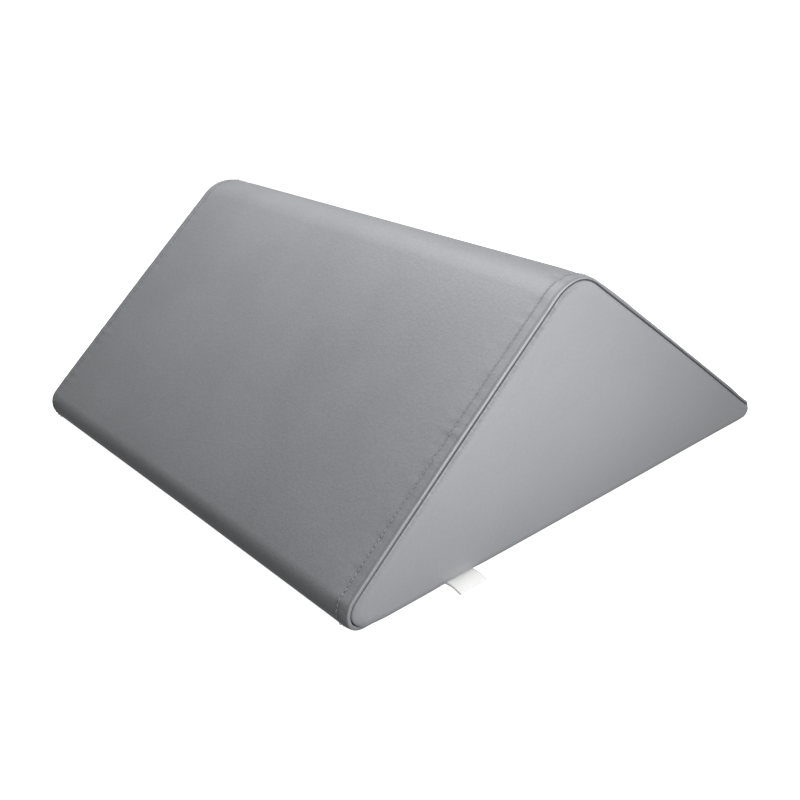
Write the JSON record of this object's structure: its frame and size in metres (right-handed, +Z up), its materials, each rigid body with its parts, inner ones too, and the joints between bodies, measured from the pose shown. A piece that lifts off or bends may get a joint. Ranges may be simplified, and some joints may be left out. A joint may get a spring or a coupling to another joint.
{
  "type": "triangle bolster",
  "caption": "Triangular foam bolster in a sewn leather-look cover, with rounded edges, topstitched end seams, crowned end panels and a blank tag, for resting legs, neck or back.",
  "frame": {"origin": "middle of the cushion's length on its flat base, straight under the ridge", "axes": "+X along the ridge, towards the end with the tag; +Z up, from the base to the ridge; -Y towards the slant beside the tag"},
  "size_m": [0.5238, 0.4779, 0.2018],
  "materials": {
    "wrap_leather": "fine-grained satin grey faux leather",
    "panel_leather": "smooth satin grey faux leather",
    "tag_cloth": "white woven satin ribbon, blank"
  },
  "bodies": {
    "root": {"cushion_body": "wrap_leather", "end_panel_near": "panel_leather", "end_panel_far": "panel_leather", "label": "tag_cloth"}
  },
  "joints": []
}
